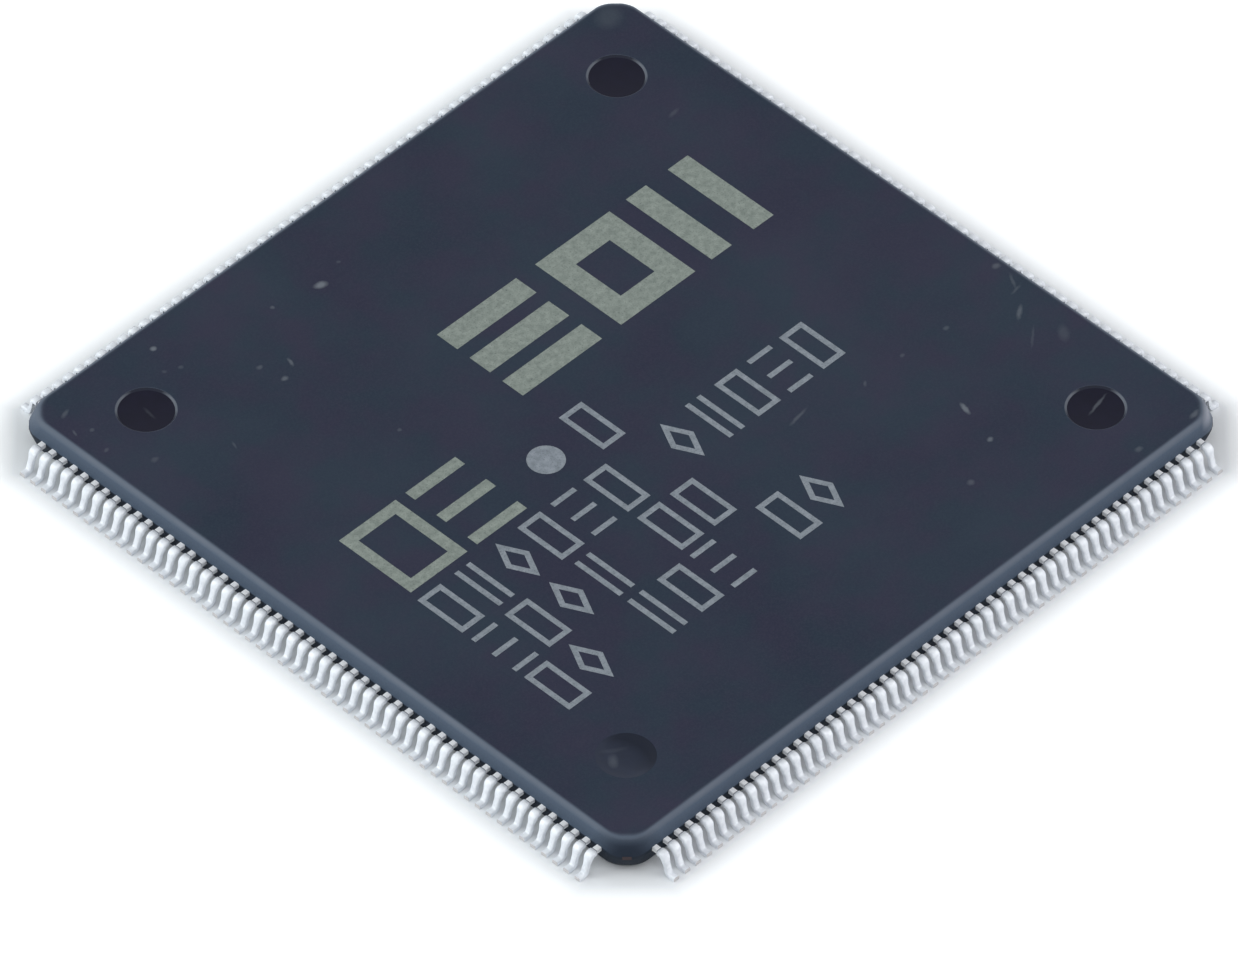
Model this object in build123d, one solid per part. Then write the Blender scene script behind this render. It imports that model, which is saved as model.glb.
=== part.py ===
from build123d import *

import os
from math import cos, radians, sin, sqrt, tan

# A quad flat pack chip: a thin square block of moulded epoxy with a row of formed
# leads along each of its four sides. Sizes are in millimetres and degrees.
# The origin is under the middle of the block, on the plane that the lead feet stand
# on, and +Z is up. Lead 1 is the first lead of the -Y side, beside the round dimple in
# the -X -Y corner, and the count runs anticlockwise seen from above.

# leads
leads_per_side = 52
lead_pitch = 0.5
lead_width = 0.22
lead_thickness = 0.15
lead_reach = 1.0  # from the wall to the lead tip
foot_length = 0.32  # from the second bend to the tip, along the middle of the metal
leg_angle = 73.0  # how steeply the leg between the two bends falls
inner_bend_radius = 0.06

# moulded block
end_margin = 1.25  # from the middle of a row's outermost lead to the end of its side
body_thickness = 1.4
standoff = 0.1  # from the plane of the feet up to the underside
draft_angle = 13.0  # how far the walls lean in, above and below the parting band
corner_cut = 0.55  # leg of the flat across each corner, at the parting band
corner_lean = 25.0  # how far the corner flats lean in, more than the walls beside them
edge_break = 0.07  # around the top and the underside

# round marks that the mould leaves
ejector_mark_diameter = 1.9
ejector_mark_depth = 0.05
dimple_diameter = 1.9
dimple_floor_diameter = 1.1
dimple_depth = 0.12
mark_inset = 3.0  # from the wall to the middle of each mark

# die pad and its four tie bars, stamped from the same sheet as the leads
pad_side = 10.0
pad_downset = 0.3  # how far the pad lies below the plane of the leads
tie_bar_width = 0.3
ramp_start = 1.0  # from the pad's corner to the foot of the bar's ramp
ramp_run = 0.6  # length of the ramp, seen from above
metal_gap = 0.12  # left between a tie bar and the leads beside it

# silicon die and the glue under it
die_side = 7.6
die_thickness = 0.3
glue_thickness = 0.03
glue_margin = 0.15  # how far the glue shows around the die

# sizes worked out from those above
body_side = (leads_per_side - 1) * lead_pitch + 2 * end_margin
half_body = body_side / 2
corner_flat_span = sqrt(2) * (body_side - corner_cut)  # between opposite corner flats
body_top = standoff + body_thickness
lead_plane = standoff + body_thickness / 2
draft_height = (body_thickness - lead_thickness) / 2
anchor_length = end_margin - lead_width / 2 - sqrt(2) * (tie_bar_width / 2 + metal_gap)
pad_top = lead_plane + lead_thickness / 2 - pad_downset


def solid_block():
    """The epoxy block, before the metal and the die that it holds are taken out."""
    square = Rectangle(body_side, body_side)
    across_corners = Rot(0, 0, 45) * Rectangle(corner_flat_span, corner_flat_span)
    band = extrude(square, lead_thickness) & extrude(across_corners, lead_thickness)
    band = Pos(0, 0, lead_plane - lead_thickness / 2) * band
    walls = extrude(square, draft_height, taper=draft_angle)
    flats = extrude(across_corners, draft_height, taper=corner_lean)
    upper = Pos(0, 0, lead_plane + lead_thickness / 2) * (walls & flats)
    lower = mirror(upper, about=Plane.XY.offset(lead_plane))
    block = upper + band + lower
    rims = block.edges().group_by(Axis.Z)
    return chamfer(rims[0] + rims[-1], edge_break)


def round_marks():
    """What the ejector pins press into both faces, and the dimple beside lead 1."""
    pin = Cylinder(ejector_mark_diameter / 2, 2 * ejector_mark_depth)
    inset = half_body - mark_inset
    corners = [(-inset, -inset), (inset, -inset), (inset, inset), (-inset, inset)]
    marks = [Pos(x, y, standoff) * pin for x, y in corners]
    marks += [Pos(x, y, body_top) * pin for x, y in corners[1:]]
    stud = Cone(dimple_floor_diameter / 2, dimple_diameter / 2, dimple_depth)
    x, y = corners[0]
    return marks + [Pos(x, y, body_top - dimple_depth / 2) * stud]


def lead_profile():
    """One lead from its side: the wall at X = 0 and outwards along X, up along Y."""
    half = lead_thickness / 2
    angle = radians(leg_angle)
    heel = lead_reach - foot_length
    shoulder = heel - (lead_plane - half) / tan(angle)
    mitre = half * tan(angle / 2)
    bend = (inner_bend_radius + lead_thickness) * tan(angle / 2)
    top, under = lead_plane + half, lead_plane - half
    points = [
        (-anchor_length, top),
        (shoulder + mitre - bend, top),
        (shoulder + mitre + bend * cos(angle), top - bend * sin(angle)),
        (heel + mitre, lead_thickness),
        (lead_reach, lead_thickness),
        (lead_reach, 0),
        (heel - mitre, 0),
        (shoulder - mitre, under),
        (-anchor_length, under),
    ]
    return make_face(Polyline(*points, close=True))


def lead_row(quarter_turns):
    """The leads of one side, counted from 0 for -Y and turned anticlockwise."""
    side_view = Plane(origin=(0, -half_body, 0), x_dir=(0, -1, 0), z_dir=(-1, 0, 0))
    lead = extrude(side_view * lead_profile(), lead_width / 2, both=True)
    first = -lead_pitch * (leads_per_side - 1) / 2
    places = [Pos(first + i * lead_pitch, 0, 0) for i in range(leads_per_side)]
    turned = Rot(0, 0, 90 * quarter_turns)
    return Compound([turned * place * lead for place in places])


def tie_bar():
    """One bar along +X, from inside the pad up its ramp to the flat of the corner."""
    ramp_foot = pad_side / sqrt(2) + ramp_start
    bar_top = lead_plane + lead_thickness / 2
    over = [(0, pad_top), (ramp_foot, pad_top), (ramp_foot + ramp_run, bar_top)]
    over += [(corner_flat_span / 2, bar_top)]
    under = [(x, z - lead_thickness) for x, z in reversed(over)]
    profile = Plane.XZ * make_face(Polyline(*over, *under, close=True))
    return extrude(profile, tie_bar_width / 2, both=True)


def die_pad():
    """The pad under the die and the four bars that held it in the sheet."""
    pad = Pos(0, 0, pad_top - lead_thickness / 2) * Box(pad_side, pad_side, lead_thickness)
    bar = tie_bar()
    for corner in range(4):
        pad += Rot(0, 0, 45 + 90 * corner) * bar
    return pad


def die_glue():
    """The thin layer that holds the die on the pad."""
    side = die_side + 2 * glue_margin
    return Pos(0, 0, pad_top + glue_thickness / 2) * Box(side, side, glue_thickness)


def silicon_die():
    """The die, centred on the glue."""
    middle = pad_top + glue_thickness + die_thickness / 2
    return Pos(0, 0, middle) * Box(die_side, die_side, die_thickness)


def row_name(side):
    """The name of one side's leads, from the numbers of its first and last lead."""
    return f"leads_{side * leads_per_side + 1}_to_{(side + 1) * leads_per_side}"


rows = {row_name(side): lead_row(side) for side in range(4)}
inner = {
    "die_pad_with_tie_bars": die_pad(),
    "die_attach_glue": die_glue(),
    "silicon_die": silicon_die(),
}
leads = [lead for row in rows.values() for lead in row.solids()]
mould_body = solid_block() - round_marks() - leads - list(inner.values())

os.makedirs("parts", exist_ok=True)
for name, shape in {"mould_body": mould_body, **rows, **inner}.items():
    export_step(shape, f"parts/{name}.step")
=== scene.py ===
import math
import random

import bmesh
import bpy
from bmesh.types import BMEdge, BMFace, BMVert
from mathutils import Matrix, Vector


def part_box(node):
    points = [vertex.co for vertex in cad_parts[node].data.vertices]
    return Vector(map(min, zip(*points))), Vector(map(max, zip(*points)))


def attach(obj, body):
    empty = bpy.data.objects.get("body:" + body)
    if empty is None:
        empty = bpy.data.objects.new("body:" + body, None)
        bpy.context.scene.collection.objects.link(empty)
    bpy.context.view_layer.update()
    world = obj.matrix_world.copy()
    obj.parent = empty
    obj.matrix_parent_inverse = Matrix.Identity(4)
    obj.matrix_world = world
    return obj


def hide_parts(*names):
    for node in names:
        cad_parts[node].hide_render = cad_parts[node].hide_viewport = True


# A quad flat pack chip on a pale table: a drafted block of moulded epoxy with round mould
# marks, four rows of formed tinned leads, and a plain pale print on top.
# The frame is in metres; the sizes in the dictionaries are in millimetres and degrees.

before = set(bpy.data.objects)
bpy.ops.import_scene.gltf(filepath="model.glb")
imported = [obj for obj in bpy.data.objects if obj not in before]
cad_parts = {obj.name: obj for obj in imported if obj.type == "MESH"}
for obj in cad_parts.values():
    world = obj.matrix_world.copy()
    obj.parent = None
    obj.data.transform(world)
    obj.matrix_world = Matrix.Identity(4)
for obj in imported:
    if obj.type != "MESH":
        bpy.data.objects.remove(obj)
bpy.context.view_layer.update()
mm = 0.001
blockLow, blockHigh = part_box("mould_body")
rowLow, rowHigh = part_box("leads_1_to_52")
halfBlock = blockHigh.x / mm
leadsPerSide = 52
body = "root"
print("frame loaded:", len(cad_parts), "nodes")


# mesh helpers

def makeObject(bm, name, materials):
    bmesh.ops.scale(bm, vec=(mm, mm, mm), verts=bm.verts[:])  # millimetres to metres
    mesh = bpy.data.meshes.new(name)
    bm.to_mesh(mesh)
    bm.free()
    for material in materials:
        mesh.materials.append(material)
    piece = bpy.data.objects.new(name, mesh)
    bpy.context.scene.collection.objects.link(piece)
    return piece


def finishPiece(bm, name, materials, slot, *replaced):
    piece = makeObject(bm, name, materials)
    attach(piece, body)
    if replaced:
        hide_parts(*replaced)
    return piece


def only(made, kind):
    # those of an operator's results that are of one kind
    return [part for part in made if isinstance(part, kind)]


def makeSheet(bm, width, height):
    # a flat rectangle about the origin
    verts = bmesh.ops.create_grid(bm, x_segments=1, y_segments=1, size=0.5)["verts"]
    bmesh.ops.scale(bm, vec=(width, height, 1), verts=verts)
    return verts


def roundCorners(bm, verts, offset, segments):
    return bmesh.ops.bevel(
        bm, geom=verts, offset=offset, offset_type="OFFSET", affect="VERTICES", segments=segments,
        profile=0.5, clamp_overlap=False, material=-1)["verts"]


def tangentLength(radius, turn):
    # from a corner to where an arc that rounds it starts
    return radius * math.tan(math.radians(turn) / 2)


# material helpers

def newMaterial(name):
    material = bpy.data.materials.new(name)
    material.use_nodes = True
    return material, material.node_tree, material.node_tree.nodes["Principled BSDF"]


def setInputs(tree, node, inputs):
    for key, value in inputs.items():
        if isinstance(value, bpy.types.NodeSocket):
            tree.links.new(value, node.inputs[key])
        else:
            node.inputs[key].default_value = value


def addNode(tree, kind, inputs=None, **settings):
    node = tree.nodes.new(kind)
    for key, value in settings.items():
        setattr(node, key, value)
    setInputs(tree, node, inputs or {})
    return node


def placeOf(tree):
    # where a point of the surface lies
    return addNode(tree, "ShaderNodeTexCoord").outputs["Object"]


def splitAxes(tree, vector):
    return addNode(tree, "ShaderNodeSeparateXYZ", {0: vector}).outputs


def facingOf(tree):
    # how far the surface faces along X, Y and Z
    return splitAxes(tree, addNode(tree, "ShaderNodeNewGeometry").outputs["Normal"])


def mathNode(tree, operation, *values):
    return addNode(tree, "ShaderNodeMath", dict(enumerate(values)), operation=operation).outputs[0]


def vectorNode(tree, operation, inputs):
    return addNode(tree, "ShaderNodeVectorMath", inputs, operation=operation).outputs


def product(tree, result, *others):
    for other in others:
        result = mathNode(tree, "MULTIPLY", result, other)
    return result


def noise(tree, place, size, detail=2.0, roughness=0.5, output=0):
    # size is how large the noise's features are, in millimetres
    return addNode(tree, "ShaderNodeTexNoise", {
        "Vector": place, "Scale": 1 / (size * mm), "Detail": detail, "Roughness": roughness,
    }).outputs[output]


def spread(tree, value, low, high, toLow=0.0, toHigh=1.0):
    return addNode(tree, "ShaderNodeMapRange", {
        0: value, 1: low, 2: high, 3: toLow, 4: toHigh}).outputs[0]


def spreadMm(tree, length, low, high, toLow=0.0, toHigh=1.0):
    # spread for a length, with low and high in millimetres
    return spread(tree, length, low * mm, high * mm, toLow, toHigh)


def vary(tree, pattern, least=0.0, most=1.0):
    # most of a noise lies between 0.3 and 0.7
    return spread(tree, pattern, 0.3, 0.7, least, most)


def mixColour(tree, factor, first, second, blend="MIX"):
    colours = [c if isinstance(c, bpy.types.NodeSocket) else (*c, 1) for c in (first, second)]
    return addNode(tree, "ShaderNodeMix", {
        0: factor, 6: colours[0], 7: colours[1]}, data_type="RGBA", blend_type=blend).outputs[2]


def bump(tree, height, depth, strength):
    return addNode(tree, "ShaderNodeBump", {
        "Height": height, "Distance": depth * mm, "Strength": strength}).outputs[0]


# epoxy of the block
# In every finish below, roughness is given at its smoothest and at its roughest.

epoxy = {
    "dark": (0.016, 0.022, 0.042),
    "light": (0.024, 0.031, 0.053),
    "grain": (0.048, 0.056, 0.077),
    "warm": (1.13, 0.93, 1.0),  # the faint change of hue from patch to patch
    "cool": (0.88, 1.05, 0.99),
    "paintedWallLightLow": (0.060, 0.085, 0.126),  # painted light: the drafted walls paler than the top, and darker towards their foot
    "paintedWallLightHigh": (0.086, 0.116, 0.164),
    "edge": (0.138, 0.162, 0.206),  # painted highlight along the rounded edges
    "corner": (0.014, 0.022, 0.038),  # painted shade round the first corner and the one across from it
    "paintedCornerHighlight": (0.46, 0.47, 0.53),  # painted highlight round the corner at the first row's end
    "hollow": (0.010, 0.016, 0.027),  # painted shade on the band between the leads and on the walls under it
    # pale dust and rubs, and the painted highlight in the dimple
    "rubAndHighlight": (0.17, 0.19, 0.22),
    "cloudSize": 5.0,
    "hueSize": 2.2,
    "grainSize": 0.07,
    "grainDepth": 0.004,
    "roughness": (0.50, 0.62),
    "specular": 0.15,
}
zones = {  # where those tones lie: each pair runs from where a tone starts to where it is full
    # by how far the surface faces up: 1 is level and 0 upright
    "wallRise": (0.985, 0.90),
    "edgeRiseAbove": (0.998, 0.86),
    "edgeRiseBelow": (0.24, 0.74),
    "cornerRise": (0.96, 0.70),
    "cornerHighlightRise": (0.96, 0.80),
    "hollowRise": (0.16, 0.05),
    # by height, or by X and Y added or taken from each other, in millimetres
    "wallHeight": (0.95, 1.4),
    "cornerHeight": (1.49, 1.2),
    "cornerAcross": (26.35, 27.3),
    "cornerHighlightHeight": (1.0, 1.3),
    "cornerHighlightAcross": (26.9, 27.35),
    # by noise, with the least and the most that comes of it where that isn't 0 and 1
    "hues": (0.38, 0.62),
    "specks": (0.4, 0.8, 0, 0.4),
    "wallSpecks": (0.3, 0.8, 0, 0.25),
    "edgePatches": (0.35, 0.65, 0.6, 1.0),
}
rubs = [  # dust, rubs and scratches on the top: x, y, length, width, turn, strength
    (-8.87, 12.83, 0.24, 0.20, 0, 0.80), (-4.78, 11.42, 0.16, 0.16, 0, 0.35),
    (-2.92, 11.03, 0.48, 0.30, -20, 0.85), (-1.75, 11.37, 0.16, 0.14, 0, 0.20),
    (-8.83, 11.6, 0.20, 0.16, 0, 0.22), (-9.37, 11.83, 0.16, 0.14, 0, 0.18),
    (-7.03, 9.75, 0.24, 0.18, 0, 0.30), (-6.80, 8.80, 0.26, 0.20, 0, 0.50),
    (-6.13, 9.20, 0.40, 0.12, 75, 0.45), (-10.1, 7.80, 0.34, 0.08, 70, 0.20),
    (-13.0, 12.75, 0.42, 0.16, 20, 0.28), (-12.4, 9.17, 0.30, 0.20, 0, 0.20),
    (11.08, 8.42, 0.50, 0.18, 10, 0.16), (12.83, 13.17, 1.1, 0.9, 30, 0.14),
    (-5.80, 4.47, 0.16, 0.14, 0, 0.25), (3.81, -4.38, 0.90, 0.14, 10, 0.30),
    (6.46, -4.88, 0.26, 0.12, 45, 0.24), (8.25, -4.84, 0.18, 0.16, 0, 0.22),
    (-13.4, 11.9, 0.30, 0.10, 70, 0.30), (-13.2, 10.6, 0.22, 0.14, 20, 0.22),
    (-12.9, 11.6, 0.18, 0.16, 0, 0.24), (10.19, -5.0, 0.24, 0.20, 0, 0.26),
    (13.44, -4.18, 0.30, 0.26, 0, 0.36), (13.32, -5.05, 0.70, 0.12, 60, 0.24),
    (13.1, -5.4, 0.50, 0.10, 10, 0.22), (12.44, -6.2, 0.68, 0.17, 35, 0.40),
    (11.9, -7.3, 1.0, 0.10, 40, 0.16), (12.75, -7.9, 0.75, 0.38, 50, 0.16),
    (7.94, -8.0, 0.56, 0.18, 75, 0.75), (7.50, -9.55, 0.24, 0.20, 0, 0.60),
    (5.63, -10.45, 0.28, 0.24, 0, 0.28), (10.6, -13.3, 0.30, 0.22, 0, 0.28),
    (13.06, -13.5, 0.48, 0.18, 10, 0.40),
]
# scratches in the round marks, then two spots of painted highlight in the dimple
markRubsAndDimpleHighlight = [
    (11.19, -10.9, 1.05, 0.12, 13, 0.40), (-11.0, 10.85, 0.62, 0.12, 82, 0.12),
    (-11.40, -10.82, 0.60, 0.34, 45, 0.22), (-11.05, -10.5, 0.9, 0.2, -30, 0.08),
]
rubAndHighlightForm = {
    "bend": 0.09,  # how far noise bends the outlines
    "bendSize": 0.2,
    "depth": 0.4,  # how far a spot reaches up and down
    "fade": (1.25, 0.45),  # from nothing to full strength, in shares of its half length and width
}


def addRubsAndHighlights(tree, place, tone, colour, spots):
    # soft oval spots, with their outlines bent by noise
    bent = noise(tree, place, rubAndHighlightForm["bendSize"], output="Color")
    shift = vectorNode(tree, "SUBTRACT", {0: bent, 1: (0.5, 0.5, 0.5)})[0]
    shift = vectorNode(tree, "SCALE", {0: shift, "Scale": rubAndHighlightForm["bend"] * mm})[0]
    spot = vectorNode(tree, "ADD", {0: place, 1: shift})[0]
    for x, y, length, width, turn, strength in spots:
        oval = addNode(tree, "ShaderNodeMapping", {
            "Vector": spot,
            "Location": (x * mm, y * mm, blockHigh.z),
            "Rotation": (0, 0, math.radians(turn)),
            "Scale": (length / 2 * mm, width / 2 * mm, rubAndHighlightForm["depth"] * mm),
        }, vector_type="TEXTURE").outputs[0]
        away = vectorNode(tree, "LENGTH", {0: oval})["Value"]
        tone = mixColour(tree, spread(tree, away, *rubAndHighlightForm["fade"], 0, strength), tone, colour)
    return tone


def topTone(tree, place, grain, patches, settings):
    # clouds, pale specks, patches of hue and rubs
    clouds = noise(tree, place, settings["cloudSize"], detail=3)
    tone = mixColour(tree, vary(tree, clouds), settings["dark"], settings["light"])
    tone = mixColour(tree, spread(tree, grain, *zones["specks"]), tone, settings["grain"])
    hue = mixColour(tree, spread(tree, patches, *zones["hues"]), settings["warm"], settings["cool"])
    tone = mixColour(tree, 1.0, tone, hue, "MULTIPLY")
    return addRubsAndHighlights(tree, place, tone, settings["rubAndHighlight"], rubs)


def addWallTones(tree, tone, place, grain, patches, settings):
    # the walls over the top's tone, then the edges, the corners and the band under the leads: painted
    # light and shade, apart from the specks on the walls
    rise = facingOf(tree)[2]
    across, along, height = splitAxes(tree, place)
    upright = spread(tree, mathNode(tree, "ABSOLUTE", rise), *zones["wallRise"])
    # painted light on the walls, darker towards their foot
    upWall = spreadMm(tree, height, *zones["wallHeight"])
    wall = mixColour(tree, upWall, settings["paintedWallLightLow"], settings["paintedWallLightHigh"])
    wall = mixColour(tree, spread(tree, grain, *zones["wallSpecks"]), wall, settings["grain"])
    tone = mixColour(tree, upright, tone, wall)
    diagonal = mathNode(tree, "ABSOLUTE", mathNode(tree, "ADD", across, along))
    darkCorner = spreadMm(tree, diagonal, *zones["cornerAcross"])
    # painted highlight where the rounded edges turn from the top to the walls, patchy, and faint by the
    # shaded corners
    edge = product(
        tree, spread(tree, rise, *zones["edgeRiseAbove"]), spread(tree, rise, *zones["edgeRiseBelow"]),
        spread(tree, patches, *zones["edgePatches"]), spread(tree, darkCorner, 0, 1, 1, 0.15))
    tone = mixColour(tree, edge, tone, settings["edge"])
    # painted shade on the flats of the first corner and the one across from it, fuller lower down
    dark = product(
        tree, darkCorner, spread(tree, rise, *zones["cornerRise"]),
        spreadMm(tree, height, *zones["cornerHeight"], 0.5, 1))
    tone = mixColour(tree, dark, tone, settings["corner"])
    # painted highlight on the flat at the first row's end, fuller towards the top
    cornerHighlight = product(
        tree, spreadMm(tree, mathNode(tree, "SUBTRACT", across, along), *zones["cornerHighlightAcross"]),
        spread(tree, rise, *zones["cornerHighlightRise"]), spreadMm(tree, height, *zones["cornerHighlightHeight"], 0.1, 0.8))
    tone = mixColour(tree, cornerHighlight, tone, settings["paintedCornerHighlight"])
    # painted shade on the upright band between the leads and on the walls under it
    low = product(tree, upright, spread(tree, rise, *zones["hollowRise"]))
    return mixColour(tree, low, tone, settings["hollow"])


def epoxyMaterial(name, settings):
    material, tree, shader = newMaterial(name)
    place = placeOf(tree)
    grain = noise(tree, place, settings["grainSize"], detail=3, roughness=0.7)
    patches = noise(tree, place, settings["hueSize"], detail=3, roughness=0.6)
    tone = topTone(tree, place, grain, patches, settings)
    setInputs(tree, shader, {
        "Base Color": addWallTones(tree, tone, place, grain, patches, settings),
        "Roughness": vary(tree, grain, *settings["roughness"]),
        "Specular IOR Level": settings["specular"],
        "Normal": bump(tree, grain, settings["grainDepth"], strength=0.5),
    })
    return material


polish = {  # floors of the round marks
    "colour": (0.0065, 0.0065, 0.0150),
    "roughness": (0.33, 0.46),
    "specular": 0.1,
    "swirlSize": 0.4,
    "swirlDepth": 0.002,
}
lip = {  # round those floors
    "colour": (0.007, 0.009, 0.019),
    "roughness": (0.35, 0.48),
    "specular": 0.15,
    "swirlSize": 0.3,
    "swirlDepth": 0.001,
    "worn": (0.115, 0.130, 0.160),  # painted highlight on its two sides along the diagonal to the first row's end
    "wornAlong": (0.45, 0.72),  # how far it faces along that diagonal
    "wornAway": (0.35, 0.0),  # how far it faces away from the first corner
}
dish = {  # the dimple by the first corner
    "colour": (0.019, 0.024, 0.040),
    "roughness": (0.45, 0.58),
    "specular": 0.15,
    "swirlSize": 0.3,
    "swirlDepth": 0.003,
    "paintedShadeSide": (0.007, 0.010, 0.020),  # painted shade on its side that faces -X
    "paintedShadeAlong": (0.06, -0.14),  # how far it faces +X
}
swirlLift = 1.5  # how much paler a swirl is than the colour


def polishMaterial(name, settings):
    material, tree, shader = newMaterial(name)
    place = placeOf(tree)
    swirl = noise(tree, place, settings["swirlSize"], detail=4)
    lighter = tuple(swirlLift * c for c in settings["colour"])
    tone = mixColour(tree, swirl, settings["colour"], lighter)
    if "worn" in settings:
        # painted highlight on the two sides of a lip that face along the diagonal to the first row's end
        facing = facingOf(tree)
        along = mathNode(tree, "ABSOLUTE", mathNode(tree, "SUBTRACT", facing[0], facing[1]))
        away = mathNode(tree, "ADD", facing[0], facing[1])
        worn = product(
            tree, spread(tree, along, *settings["wornAlong"]), spread(tree, away, *settings["wornAway"]))
        tone = mixColour(tree, worn, tone, settings["worn"])
    if "paintedShadeSide" in settings:
        # painted shade on the side of the dimple that faces -X
        paintedShadeSide = spread(tree, facingOf(tree)[0], *settings["paintedShadeAlong"])
        tone = mixColour(tree, paintedShadeSide, tone, settings["paintedShadeSide"])
    setInputs(tree, shader, {
        "Base Color": addRubsAndHighlights(tree, place, tone, epoxy["rubAndHighlight"], markRubsAndDimpleHighlight),
        "Roughness": vary(tree, swirl, *settings["roughness"]),
        "Specular IOR Level": settings["specular"],
        "Normal": bump(tree, swirl, settings["swirlDepth"], strength=0.4),
    })
    return material


# moulded block

block = {
    "draft": 13.0,  # how far each wall leans in, above and below the parting band
    "band": 0.15,  # height of the upright band that the leads come out of
    "cornerCut": 0.556,  # a touch more than the tie bars reach, so that their ends show
    "cornerCutFace": 0.66,  # the corner's flats lean in more than the walls do
    "cornerTurn": 45.0,  # from a wall to a corner's flat
    "cornerRound": 0.75,  # where a corner's flat meets the walls
    "cornerSteps": 5,
    "edgeRound": 0.25,  # round the top and the underside
    "edgeSteps": 5,
    "faceSink": 0.006,  # the bare face lies this much below the box, which the print fills
    "wallArea": 5.0,  # smaller faces belong to the rounds and are shaded smooth
}
marks = {  # each mark's rings: radius, depth, and the finish inside it, counted in blockFinishes
    "inset": 3.0,
    "steps": 64,
    "pin": [
        (1.04, 0.0, 0), (1.025, 0.003, 2), (1.01, 0.0155, 2), (0.965, 0.053, 2), (0.95, 0.0655, 1),
        (0.935, 0.068, 1),
    ],
    "dimple": [
        (1.0, 0.0, 3), (0.95, 0.012, 3), (0.86, 0.05, 3), (0.7, 0.085, 3), (0.48, 0.11, 3),
        (0.24, 0.119, 3),
    ],
}


def sinkMark(bm, x, y, z, into, rings):
    # a round recess, ring by ring from its rim to its floor
    start = rings[0][0]
    circle = bmesh.ops.create_circle(
        bm, cap_ends=False, segments=marks["steps"], radius=start, matrix=Matrix.Translation((x, y, z)))
    rim = list({e for v in circle["verts"] for e in v.link_edges})
    edges = rim
    for before, (radius, depth, finish) in zip(rings, rings[1:]):
        made = bmesh.ops.extrude_edge_only(bm, edges=edges)["geom"]
        verts, edges = only(made, BMVert), only(made, BMEdge)
        shrink = radius / before[0]
        bmesh.ops.scale(bm, vec=(shrink, shrink, 1), verts=verts, space=Matrix.Translation((-x, -y, 0)))
        bmesh.ops.translate(bm, vec=(0, 0, into * (depth - before[1])), verts=verts)
        for face in {f for e in edges for f in e.link_faces}:
            face.smooth = True
            face.material_index = before[2]
    floor = bmesh.ops.contextual_create(bm, geom=edges)["faces"][0]
    floor.material_index = finish
    return rim


def closeFace(bm, rim, z, into, holes):
    # fills a flat face between its rim and the round marks that sink into it
    rims = [e for x, y, rings in holes for e in sinkMark(bm, x, y, z, into, rings)]
    bmesh.ops.triangle_fill(bm, use_beauty=True, edges=rim + rims, normal=(0, 0, -into))


def outlineAt(bm, z, inset, cut):
    # the block's outline at one height: a square with cut and rounded corners
    side = 2 * (halfBlock - inset)
    verts = makeSheet(bm, side, side)
    bmesh.ops.translate(bm, vec=(0, 0, z), verts=verts)
    cornerVerts = roundCorners(bm, verts, cut, 1)
    roundStart = tangentLength(block["cornerRound"], block["cornerTurn"])
    roundCorners(bm, cornerVerts, roundStart, block["cornerSteps"])
    face = max(bm.faces, key=lambda f: len(f.verts))
    edges = face.edges[:]
    bmesh.ops.delete(bm, geom=[face], context="FACES_ONLY")
    return edges


def profileOf(height):
    # (height above the band, inset) from the band up the drafted wall and round its edge
    lean = math.radians(block["draft"])
    radius, steps = block["edgeRound"], block["edgeSteps"]
    tangent = height - radius + radius * math.sin(lean)
    centre = math.tan(lean) * tangent + radius * math.cos(lean)
    turns = [lean + (math.pi / 2 - lean) * i / steps for i in range(steps + 1)]
    arc = [(height - radius + radius * math.sin(a), centre - radius * math.cos(a)) for a in turns]
    return [(0.0, 0.0)] + arc


def makeBlock(materials):
    bandTop = (blockLow.z + blockHigh.z) / 2 / mm + block["band"] / 2
    faceTop = blockHigh.z / mm - block["faceSink"]
    faceBottom = blockLow.z / mm
    bm = bmesh.new()
    levels = []  # z, inset, and the share of the way from the band to the face
    for start, face in ((bandTop - block["band"], faceBottom), (bandTop, faceTop)):
        height = abs(face - start)
        away = math.copysign(1, face - start)
        levels += [(start + away * up, inset, up / height) for up, inset in profileOf(height)]
    levels.sort()  # from the underside to the top
    atBand, atFace = block["cornerCut"], block["cornerCutFace"]
    outlines = [
        outlineAt(bm, z, inset, atBand + share * (atFace - atBand)) for z, inset, share in levels]
    for lower, upper in zip(outlines, outlines[1:]):
        bmesh.ops.bridge_loops(bm, edges=lower + upper)
    for face in bm.faces:
        face.smooth = face.calc_area() < block["wallArea"]
    place = halfBlock - marks["inset"]
    corners = [(-place, -place), (place, -place), (place, place), (-place, place)]
    onTop = [(x, y, marks["pin"]) for x, y in corners[1:]] + [(*corners[0], marks["dimple"])]
    closeFace(bm, outlines[-1], faceTop, -1, onTop)
    closeFace(bm, outlines[0], faceBottom, 1, [(x, y, marks["pin"]) for x, y in corners])
    bmesh.ops.recalc_face_normals(bm, faces=bm.faces[:])
    return finishPiece(bm, "moulded_block", materials, "mould_compound", "mould_body")


blockFinishes = [
    epoxyMaterial("matt moulded epoxy", epoxy),
    polishMaterial("polished mould mark", polish),
    polishMaterial("lip of a mould mark", lip),
    polishMaterial("dish of the dimple", dish),
]
blockPiece = makeBlock(blockFinishes)
print("block made:", len(blockPiece.data.polygons), "faces")


# leads

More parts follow.
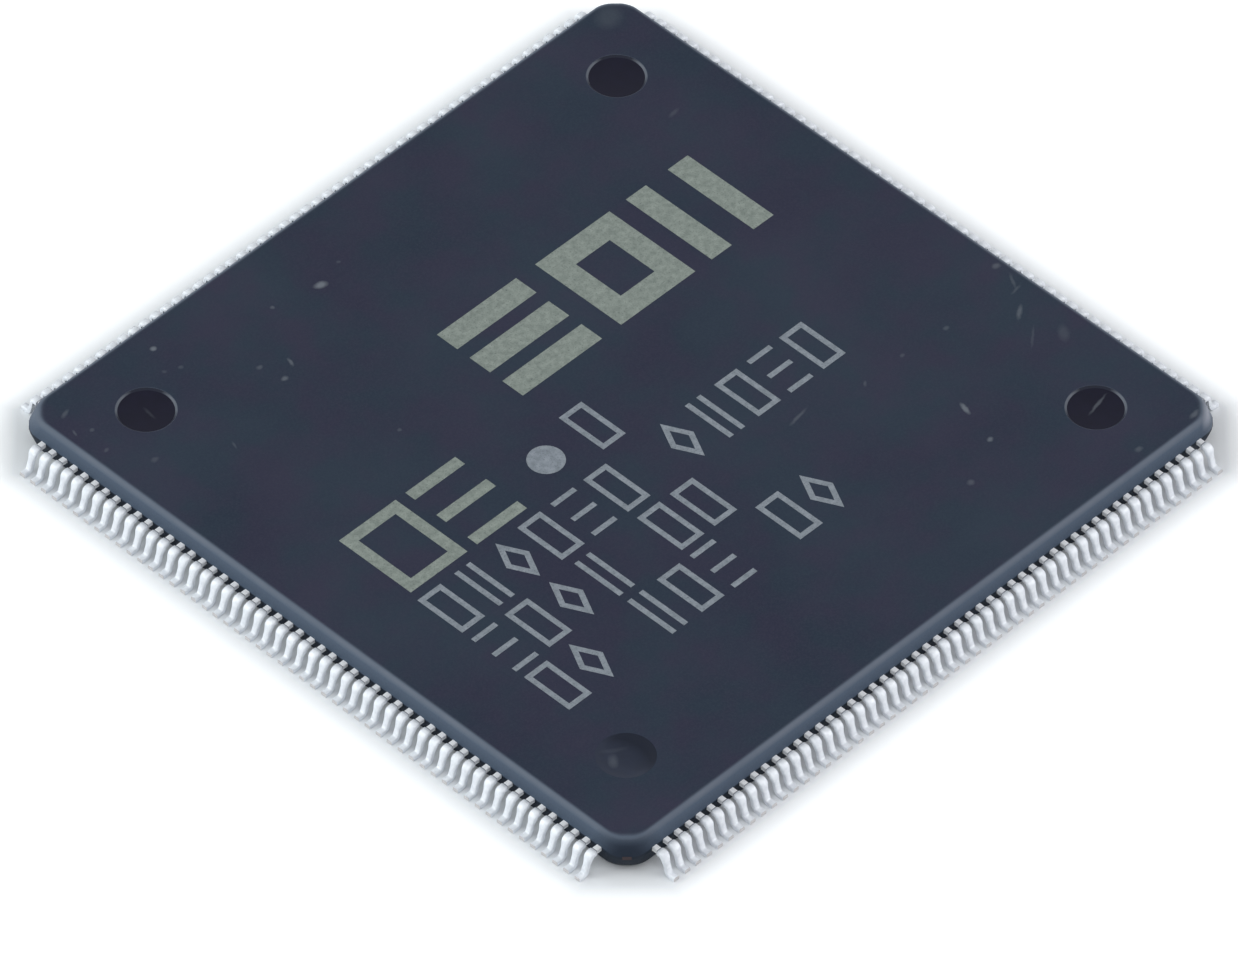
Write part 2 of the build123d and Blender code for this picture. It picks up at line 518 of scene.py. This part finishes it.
tin = {
    "colour": (0.84, 0.87, 0.91),
    "shade": (0.70, 0.73, 0.78),
    "shoulder": (0.97, 0.98, 1.0),  # painted light: paler on the shoulder, next to the wall
    "toe": (0.50, 0.45, 0.42),
    "toeZone": (0.992, 0.996, 0, 0.6),  # from and to, out from the wall, and the least and the most
    # painted shade: a thin dark line across each lead at the crease
    "paintedCreaseShade": (0.20, 0.22, 0.26),
    "crease": 0.225,  # where the bar was cut off, out from the wall
    "creaseZone": (0.008, 0.026, 0.9, 0),  # to either side of it
    "creaseBlend": 0.02,  # how softly the painted light on the shoulder ends there
    "cloudSize": 0.18,
    "cloudZone": (0.3, 0.75),
    "grainSize": 0.02,
    "grainDepth": 0.002,
    "roughness": (0.54, 0.68),
    "metallic": 0.25,  # a dull plate, whose skin has oxidised
}


def tinMaterial(name, settings):
    material, tree, shader = newMaterial(name)
    place = placeOf(tree)
    sideways = [mathNode(tree, "ABSOLUTE", axis) for axis in splitAxes(tree, place)[:2]]
    out = mathNode(tree, "SUBTRACT", mathNode(tree, "MAXIMUM", *sideways), halfBlock * mm)
    clouds = noise(tree, place, settings["cloudSize"], detail=3)
    grain = noise(tree, place, settings["grainSize"])
    cloudy = spread(tree, clouds, *settings["cloudZone"])
    tone = mixColour(tree, cloudy, settings["colour"], settings["shade"])
    crease, blend = settings["crease"], settings["creaseBlend"]
    # painted light on the shoulder, from the wall to the crease
    paintedShoulderLight = spreadMm(tree, out, crease - blend, crease + blend, 1, 0)
    tone = mixColour(tree, paintedShoulderLight, tone, settings["shoulder"])
    # painted shade in a thin line across the lead at the crease
    fromCrease = mathNode(tree, "ABSOLUTE", mathNode(tree, "SUBTRACT", out, crease * mm))
    creased = spreadMm(tree, fromCrease, *settings["creaseZone"])
    tone = mixColour(tree, creased, tone, settings["paintedCreaseShade"])
    tone = mixColour(tree, spreadMm(tree, out, *settings["toeZone"]), tone, settings["toe"])
    setInputs(tree, shader, {
        "Base Color": tone,
        "Metallic": settings["metallic"],
        "Roughness": vary(tree, clouds, *settings["roughness"]),
        "Normal": bump(tree, grain, settings["grainDepth"], strength=0.4),
    })
    return material


lead = {
    "thickness": 0.15,
    "foot": 0.32,  # from the heel to the toe
    "legAngle": 73.0,
    "bendRadius": 0.135,  # of the middle of the metal
    "bendSteps": 3,
    "edgeRound": 0.028,  # along the two edges that the stamping drew over
    "anchor": 0.25,  # inside the block
    "wobble": 0.006,  # how far a lead may stand out of line
    "waist": 0.22,  # width at the shoulder's end and down the leg
    "stub": 0.31,  # width where the bar that joined the leads was cut away
    "stubStart": 0.228,  # out from the wall
    "stubStep": 0.018,  # over which the lead widens
    "stubStraight": 0.03,  # down the leg from the bend
    "stubTaper": 0.22,
    "footWidth": 0.235,
    "sharpest": 60.0,  # an edge that turns less is shaded smooth
}
pitch = 0.5
leadWidth = (rowHigh.x - rowLow.x) / mm - (leadsPerSide - 1) * pitch
leadReach = -rowLow.y / mm - halfBlock


def bend(bm, face, centre, angle):
    made = bmesh.ops.spin(
        bm, geom=[face, *face.edges, *face.verts], cent=centre, axis=(1, 0, 0), dvec=(0, 0, 0),
        angle=math.radians(angle), steps=lead["bendSteps"], use_duplicate=False)["geom_last"]
    return only(made, BMFace)[0]


def drawOut(bm, face, step, width):
    # pushes the lead's end on and gives the new end its width
    made = bmesh.ops.extrude_face_region(bm, geom=[face, *face.edges])["geom"]
    bmesh.ops.translate(bm, vec=step, verts=only(made, BMVert))
    face = only(made, BMFace)[0]
    wide = max(v.co.x for v in face.verts) * 2
    bmesh.ops.scale(bm, vec=(width / wide, 1, 1), verts=face.verts[:])
    return face


def makeLead(bm, x, lean):
    known = set(bm.faces)
    half = lead["thickness"] / 2
    plane = rowHigh.z / mm - half  # height of the middle of the metal at the wall
    angle = math.radians(lead["legAngle"])
    heel = leadReach - lead["foot"]
    shoulder = heel - (plane - half) / math.tan(angle)
    cutBack = tangentLength(lead["bendRadius"], lead["legAngle"])
    toBend = shoulder - cutBack
    leg = (plane - half) / math.sin(angle) - 2 * cutBack
    wall = Vector((0, -halfBlock, plane))
    out, down = Vector((0, -1, 0)), Vector((0, -math.cos(angle), -math.sin(angle)))
    section = makeSheet(bm, leadWidth, lead["thickness"])
    bmesh.ops.rotate(bm, cent=(0, 0, 0), matrix=Matrix.Rotation(math.pi / 2, 3, "X"), verts=section)
    bmesh.ops.translate(bm, vec=wall - out * lead["anchor"], verts=section)
    roundCorners(bm, [v for v in section if v.co.z > plane], lead["edgeRound"], 1)
    face = next(f for f in bm.faces if f not in known)
    face = drawOut(bm, face, out * (lead["anchor"] + lead["stubStart"]), lead["waist"])
    face = drawOut(bm, face, out * lead["stubStep"], lead["stub"])
    face = drawOut(bm, face, out * (toBend - lead["stubStart"] - lead["stubStep"]), lead["stub"])
    start = wall + out * toBend
    face = bend(bm, face, start - Vector((0, 0, lead["bendRadius"])), lead["legAngle"])
    face = drawOut(bm, face, down * lead["stubStraight"], lead["stub"])
    face = drawOut(bm, face, down * lead["stubTaper"], lead["waist"])
    face = drawOut(bm, face, down * (leg - lead["stubStraight"] - lead["stubTaper"]), lead["footWidth"])
    legEnd = start + out * lead["bendRadius"] * math.sin(angle) + down * leg
    legEnd.z -= lead["bendRadius"] * (1 - math.cos(angle))
    across = Vector((0, -math.sin(angle), math.cos(angle)))
    face = bend(bm, face, legEnd + across * lead["bendRadius"], -lead["legAngle"])
    drawOut(bm, face, out * (lead["foot"] - cutBack), lead["footWidth"])
    for vert in {v for f in bm.faces if f not in known for v in f.verts}:
        vert.co.x += x + lean * (-vert.co.y - halfBlock)


def makeRow(side, material):
    first = side * leadsPerSide + 1
    last = first + leadsPerSide - 1
    dice = random.Random(first)
    bm = bmesh.new()
    for i in range(leadsPerSide):
        x = (i - (leadsPerSide - 1) / 2) * pitch
        makeLead(bm, x, dice.uniform(-1, 1) * lead["wobble"])
    bmesh.ops.recalc_face_normals(bm, faces=bm.faces[:])
    for edge in bm.edges:
        edge.smooth = edge.calc_face_angle() < math.radians(lead["sharpest"])
    for face in bm.faces:
        face.smooth = True
    turn = Matrix.Rotation(side * math.pi / 2, 3, "Z")
    bmesh.ops.rotate(bm, cent=(0, 0, 0), matrix=turn, verts=bm.verts[:])
    row = finishPiece(
        bm, f"lead_row_{first}_to_{last}", [material], "plated_leads", f"leads_{first}_to_{last}")
    row.modifiers.new("flat faces, soft edges", "WEIGHTED_NORMAL").keep_sharp = True
    return row


tinPlate = tinMaterial("matt tin plate", tin)
rows = [makeRow(side, tinPlate) for side in range(4)]
print("leads made:", sum(len(row.data.polygons) for row in rows), "faces")


# print on top: plain shapes in place of words

ink = {
    "colour": (0.200, 0.233, 0.213),
    "pale": (0.298, 0.338, 0.307),
    "mottleSize": 0.22,
    "grainSize": 0.06,
    "grainDepth": 0.004,
    "worn": (0.55, 0.8, 0, 0.6),  # where the grain has lost its ink: from, to, least and most
    "roughness": (0.70, 0.85),
    "specular": 0.2,
}
fineInk = ink | {"colour": (0.198, 0.227, 0.258), "pale": (0.295, 0.328, 0.372)}


def inkMaterial(name, settings):
    material, tree, shader = newMaterial(name)
    place = placeOf(tree)
    mottle = noise(tree, place, settings["mottleSize"], detail=3, roughness=0.6)
    grain = noise(tree, place, settings["grainSize"])
    tone = mixColour(tree, vary(tree, mottle), settings["colour"], settings["pale"])
    tone = mixColour(tree, spread(tree, grain, *settings["worn"]), tone, epoxy["light"])
    setInputs(tree, shader, {
        "Base Color": tone,
        "Roughness": vary(tree, grain, *settings["roughness"]),
        "Specular IOR Level": settings["specular"],
        "Normal": bump(tree, grain, settings["grainDepth"], strength=0.5),
    })
    return material


printing = {
    "top": 1.4996,  # just under the box, and above the bare face
    "thickness": 0.02,
    "stroke": 0.2,
    "cellWidth": 1.05,
    "cellHeight": 2.05,
    "cellPitch": 1.53,
    "barInset": 0.15,  # share of a shape's width to either side of its two bars
    "discSteps": 32,
}
boldShapes = [  # shape, x, y, width, height, stroke
    ("dashes", -1.85, 2.7, 3.7, 3.98, 0.95),
    ("box", 2.75, 2.7, 3.5, 3.98, 0.95),
    ("bars", 6.4, 2.7, 4.2, 3.98, 0.95),
    ("box", -10.75, -1.0, 2.6, 3.3, 0.45),
    ("dashes", -7.7, -1.0, 2.3, 3.3, 0.45),
]
dot = (-3.4, 0.1, 0.65)  # x, y, radius
printRows = [  # left, bottom, shapes
    (-1.75, -0.9, ["box"]),
    (-10.85, -3.45, ["box", "bars", "lozenge", "box", "dashes", "box", None, "lozenge", "bars", "box",
                     "dashes", "box"]),
    (-10.85, -5.9, ["dashes", "box", "lozenge", "bars", None, "box", "box"]),
    (-10.85, -8.3, ["box", "lozenge", None, "bars", "box", "dashes", None, "box", "lozenge"]),
]


def stampSheet(bm, x, y, width, height):
    verts = makeSheet(bm, width, height)
    bmesh.ops.translate(bm, vec=(x + width / 2, y + height / 2, printing["top"]), verts=verts)
    return verts[0].link_faces[0]


def stampDisc(bm, x, y, radius, segments, squash=1.0):
    verts = bmesh.ops.create_circle(bm, cap_ends=True, segments=segments, radius=radius)["verts"]
    bmesh.ops.scale(bm, vec=(squash, 1, 1), verts=verts)
    bmesh.ops.translate(bm, vec=(x, y, printing["top"]), verts=verts)
    return verts[0].link_faces[0]


def hollow(bm, face, stroke):
    bmesh.ops.inset_individual(bm, faces=[face], thickness=stroke, use_even_offset=True)
    bmesh.ops.delete(bm, geom=[face], context="FACES_ONLY")


def stampShape(bm, shape, x, y, width, height, stroke):
    if shape == "box":
        hollow(bm, stampSheet(bm, x, y, width, height), stroke)
    elif shape == "lozenge":
        disc = stampDisc(bm, x + width / 2, y + height / 2, height / 2, 4, width / height)
        hollow(bm, disc, stroke)
    elif shape == "bars":
        inset = printing["barInset"] * width
        for left in (inset, width - inset - stroke):
            stampSheet(bm, x + left, y, stroke, height)
    elif shape == "dashes":
        for level in (0, (height - stroke) / 2, height - stroke):
            stampSheet(bm, x, y + level, width, stroke)


def thicken(bm, thickness):
    # gives flat shapes their thickness, downwards
    made = bmesh.ops.extrude_face_region(bm, geom=bm.faces[:])["geom"]
    bmesh.ops.translate(bm, vec=(0, 0, -thickness), verts=only(made, BMVert))
    bmesh.ops.recalc_face_normals(bm, faces=bm.faces[:])


def makePrint(materials):
    bm = bmesh.new()
    for shape in boldShapes:
        stampShape(bm, *shape)
    bold = set(bm.faces)
    stampDisc(bm, *dot, printing["discSteps"])
    cell = printing["cellWidth"], printing["cellHeight"], printing["stroke"]
    for left, bottom, shapes in printRows:
        for i, shape in enumerate(shapes):
            stampShape(bm, shape, left + i * printing["cellPitch"], bottom, *cell)
    for face in bm.faces:
        face.material_index = 0 if face in bold else 1
    thicken(bm, printing["thickness"])
    return finishPiece(bm, "pale_print", materials, "mould_compound")


printPiece = makePrint([inkMaterial("broad pale print", ink), inkMaterial("fine pale print", fineInk)])
print("print made:", len(printPiece.data.polygons), "faces")


# metal and silicon inside the block

copper = {
    "colour": (0.62, 0.38, 0.30),
    "shade": (0.42, 0.26, 0.21),
    "grainSize": 0.06,
    "roughness": (0.36, 0.48),
    "metallic": 1.0,
    "tarnish": (0.055, 0.042, 0.045),  # the cut ends of the tie bars have gone dark in the open air
    "tarnishBlend": 0.1,
}
glue = {
    "colour": (0.55, 0.55, 0.53),
    "shade": (0.40, 0.40, 0.39),
    "grainSize": 0.05,
    "roughness": (0.54, 0.66),
    "metallic": 0.3,
}
silicon = {
    "colour": (0.28, 0.31, 0.38),
    "shade": (0.22, 0.25, 0.32),
    "grainSize": 0.8,
    "roughness": (0.09, 0.21),
    "metallic": 0.9,
}
innerGrainDepth = 0.002


def grainyMaterial(name, settings):
    material, tree, shader = newMaterial(name)
    grain = noise(tree, placeOf(tree), settings["grainSize"], detail=3)
    setInputs(tree, shader, {
        "Base Color": mixColour(tree, grain, settings["shade"], settings["colour"]),
        "Metallic": settings["metallic"],
        "Roughness": vary(tree, grain, *settings["roughness"]),
        "Normal": bump(tree, grain, innerGrainDepth, strength=0.3),
    })
    return material


def tarnishEnds(material, settings):
    tree = material.node_tree
    shader = tree.nodes["Principled BSDF"]
    bright = shader.inputs["Base Color"].links[0].from_socket
    out = mathNode(tree, "ABSOLUTE", splitAxes(tree, placeOf(tree))[0])
    cutEnd = halfBlock - block["cornerCut"]
    dark = spreadMm(tree, out, cutEnd, cutEnd + settings["tarnishBlend"])
    tree.links.new(mixColour(tree, dark, bright, settings["tarnish"]), shader.inputs["Base Color"])
    return material


innerFinishes = {
    "die_pad_with_tie_bars": tarnishEnds(grainyMaterial("bare copper alloy", copper), copper),
    "die_attach_glue": grainyMaterial("silver filled glue", glue),
    "silicon_die": grainyMaterial("bare silicon", silicon),
}
for node, finish in innerFinishes.items():
    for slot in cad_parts[node].material_slots:
        slot.material = finish
print("inner pieces finished")


# table, lamps, world and camera

table = {
    "side": 3000.0,
    "drop": 0.02,
    "colour": (0.90, 0.925, 0.95),
    "roughness": 0.9,
    "specular": 0.1,
    "ownLight": 0.5,  # seen well away from the part, where its shadow has ended
    "shadowReach": 1.2,
}


def seenByCamera(tree):
    # 1 for what the camera sees, straight or in a reflection or through clear matter
    rays = addNode(tree, "ShaderNodeLightPath").outputs
    indirect = mathNode(tree, "MAXIMUM", rays["Is Glossy Ray"], rays["Is Transmission Ray"])
    return mathNode(tree, "MAXIMUM", rays["Is Camera Ray"], indirect)


def makeTable():
    material, tree, shader = newMaterial("pale table")
    sideways = [mathNode(tree, "ABSOLUTE", axis) for axis in splitAxes(tree, placeOf(tree))[:2]]
    beyondTips = mathNode(tree, "SUBTRACT", mathNode(tree, "MAXIMUM", *sideways), -rowLow.y)
    beyondCorner = mathNode(tree, "SUBTRACT", mathNode(tree, "ADD", *sideways), 2 * halfBlock * mm)
    away = mathNode(tree, "MAXIMUM", beyondTips, product(tree, beyondCorner, math.sqrt(0.5)))
    clear = spreadMm(tree, away, 0, table["shadowReach"], 0, table["ownLight"])
    setInputs(tree, shader, {
        "Base Color": (*table["colour"], 1),
        "Roughness": table["roughness"],
        "Specular IOR Level": table["specular"],
        "Emission Color": (1, 1, 1, 1),
        "Emission Strength": product(tree, seenByCamera(tree), clear),
    })
    bm = bmesh.new()
    verts = makeSheet(bm, table["side"], table["side"])
    bmesh.ops.translate(bm, vec=(0, 0, -table["drop"]), verts=verts)
    piece = makeObject(bm, "table", [material])


def aim(azimuth, elevation):
    # the direction from the part towards a lamp or camera, azimuth 0 being along -Y
    a, e = math.radians(azimuth), math.radians(elevation)
    return Vector((math.sin(a) * math.cos(e), -math.cos(a) * math.cos(e), math.sin(e)))


lamps = {  # azimuth, elevation, distance and size in metres, power in watts, colour
    "left lamp": (-136.0, 26.0, 1.0, 0.9, 6.8, (0.95, 1.0, 1.0)),
    "right lamp": (44.0, 26.0, 1.0, 0.9, 4.9, (1.0, 0.99, 1.0)),
    "upper lamp": (-46.0, 60.0, 1.0, 1.4, 4.7, (0.98, 0.99, 1.0)),
}


def makeLamps():
    for name, (azimuth, elevation, distance, size, power, colour) in lamps.items():
        light = bpy.data.lights.new(name, "AREA")
        light.shape = "DISK"
        light.size = size
        light.energy = power
        light.color = colour
        lamp = bpy.data.objects.new(name, light)
        towards = aim(azimuth, elevation)
        lamp.location = towards * distance
        lamp.rotation_mode = "QUATERNION"
        lamp.rotation_quaternion = towards.to_track_quat("Z", "Y")
        bpy.context.scene.collection.objects.link(lamp)


sky = {
    "colour": (0.96, 0.98, 1.0),
    "strength": 0.15,  # of its light on the part
    "seenStrength": 1.0,
}


def makeWorld():
    world = bpy.data.worlds.new("studio")
    bpy.context.scene.world = world
    world.use_nodes = True
    tree = world.node_tree
    strength = spread(tree, seenByCamera(tree), 0, 1, sky["strength"], sky["seenStrength"])
    setInputs(tree, tree.nodes["Background"], {"Color": (*sky["colour"], 1), "Strength": strength})


photo = {"width": 1238, "focal": 15543}  # pixels
camera = {
    "azimuth": -45.928,
    "elevation": 45.91,
    "roll": 0.526,
    "distance": 509.7,
    "aimHeight": 0.8,
    "aimRight": -0.052,
    "aimUp": -1.745,
    "sensor": 36.0,
    "clip": (0.01, 20),  # metres
}


def makeCamera():
    data = bpy.data.cameras.new("camera")
    data.sensor_fit = "HORIZONTAL"
    data.sensor_width = camera["sensor"]
    data.lens = photo["focal"] / photo["width"] * camera["sensor"]
    data.clip_start, data.clip_end = camera["clip"]
    piece = bpy.data.objects.new("camera", data)
    back = aim(camera["azimuth"], camera["elevation"])
    right = Vector((-back.y, back.x, 0)).normalized()
    up = back.cross(right)
    target = Vector((0, 0, camera["aimHeight"])) + right * camera["aimRight"] + up * camera["aimUp"]
    turn = Matrix.Rotation(math.radians(camera["roll"]), 3, back)
    axes = Matrix((turn @ right, turn @ up, back)).transposed()
    piece.matrix_world = Matrix.Translation((target + back * camera["distance"]) * mm) @ axes.to_4x4()
    bpy.context.scene.collection.objects.link(piece)
    bpy.context.scene.camera = piece


makeTable()
makeLamps()
makeWorld()
makeCamera()
bpy.context.scene.view_settings.view_transform = "Standard"

print("scene ready")
